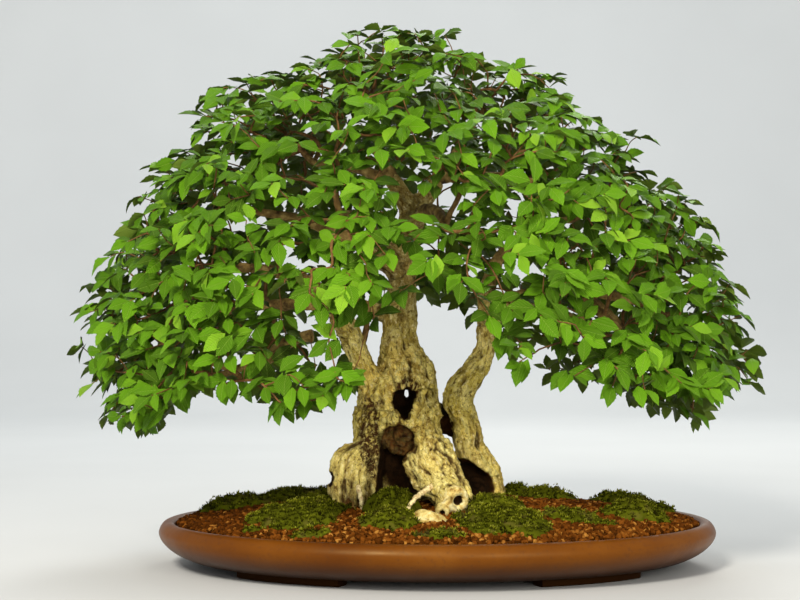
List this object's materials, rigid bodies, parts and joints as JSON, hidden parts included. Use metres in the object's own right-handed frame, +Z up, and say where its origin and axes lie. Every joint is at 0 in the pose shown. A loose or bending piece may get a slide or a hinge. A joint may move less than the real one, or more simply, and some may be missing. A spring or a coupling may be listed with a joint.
{
  "type": "bonsai tree",
  "caption": "Old broad-crowned leafy bonsai with a hollowed, forked trunk, growing from mossy granular soil in a shallow oval footed pot",
  "frame": {"origin": "the middle of the bottom of the box round the whole object, at the height of the table", "axes": "X along the pot, to the right seen from the front; Y to the back; Z up"},
  "size_m": [0.6874, 0.5336, 0.5355],
  "materials": {
    "pot_clay": "reddish-brown fired clay, semi-gloss and slightly mottled",
    "screen_mesh": "black plastic mesh",
    "soil_granules": "loose red-brown baked clay granules, matt",
    "moss": "low green moss with dark tufts, matt",
    "bark": "fluted tan to olive-grey bark, matt, mottled",
    "leaf": "fresh green leaf, satin, with pressed-in side veins"
  },
  "bodies": {
    "root": {"pot": "pot_clay", "drain_screen_left": "screen_mesh", "drain_screen_right": "screen_mesh", "soil": "soil_granules", "moss_cushion_01": "moss", "moss_cushion_02": "moss", "moss_cushion_03": "moss", "moss_cushion_04": "moss", "moss_cushion_05": "moss", "moss_cushion_06": "moss", "moss_cushion_07": "moss", "moss_cushion_08": "moss", "trunk_and_branches": "bark", "leaf_spray_01": "leaf", "leaf_spray_02": "leaf", "leaf_spray_03": "leaf", "leaf_spray_04": "leaf", "leaf_spray_05": "leaf", "leaf_spray_06": "leaf", "leaf_spray_07": "leaf", "leaf_spray_08": "leaf", "leaf_spray_09": "leaf", "leaf_spray_10": "leaf", "leaf_spray_11": "leaf", "leaf_spray_12": "leaf", "leaf_spray_13": "leaf", "leaf_spray_14": "leaf", "leaf_spray_15": "leaf", "leaf_spray_16": "leaf", "leaf_spray_17": "leaf", "leaf_spray_18": "leaf", "leaf_spray_19": "leaf", "leaf_spray_20": "leaf", "leaf_spray_21": "leaf", "leaf_spray_22": "leaf", "leaf_spray_23": "leaf", "leaf_spray_24": "leaf", "leaf_spray_25": "leaf", "leaf_spray_26": "leaf", "leaf_spray_27": "leaf", "leaf_spray_28": "leaf", "leaf_spray_29": "leaf", "leaf_spray_30": "leaf", "leaf_spray_31": "leaf", "leaf_spray_32": "leaf", "leaf_spray_33": "leaf", "leaf_spray_34": "leaf", "leaf_spray_35": "leaf", "leaf_spray_36": "leaf", "leaf_spray_37": "leaf", "leaf_spray_38": "leaf", "leaf_spray_39": "leaf"}
  },
  "joints": []
}
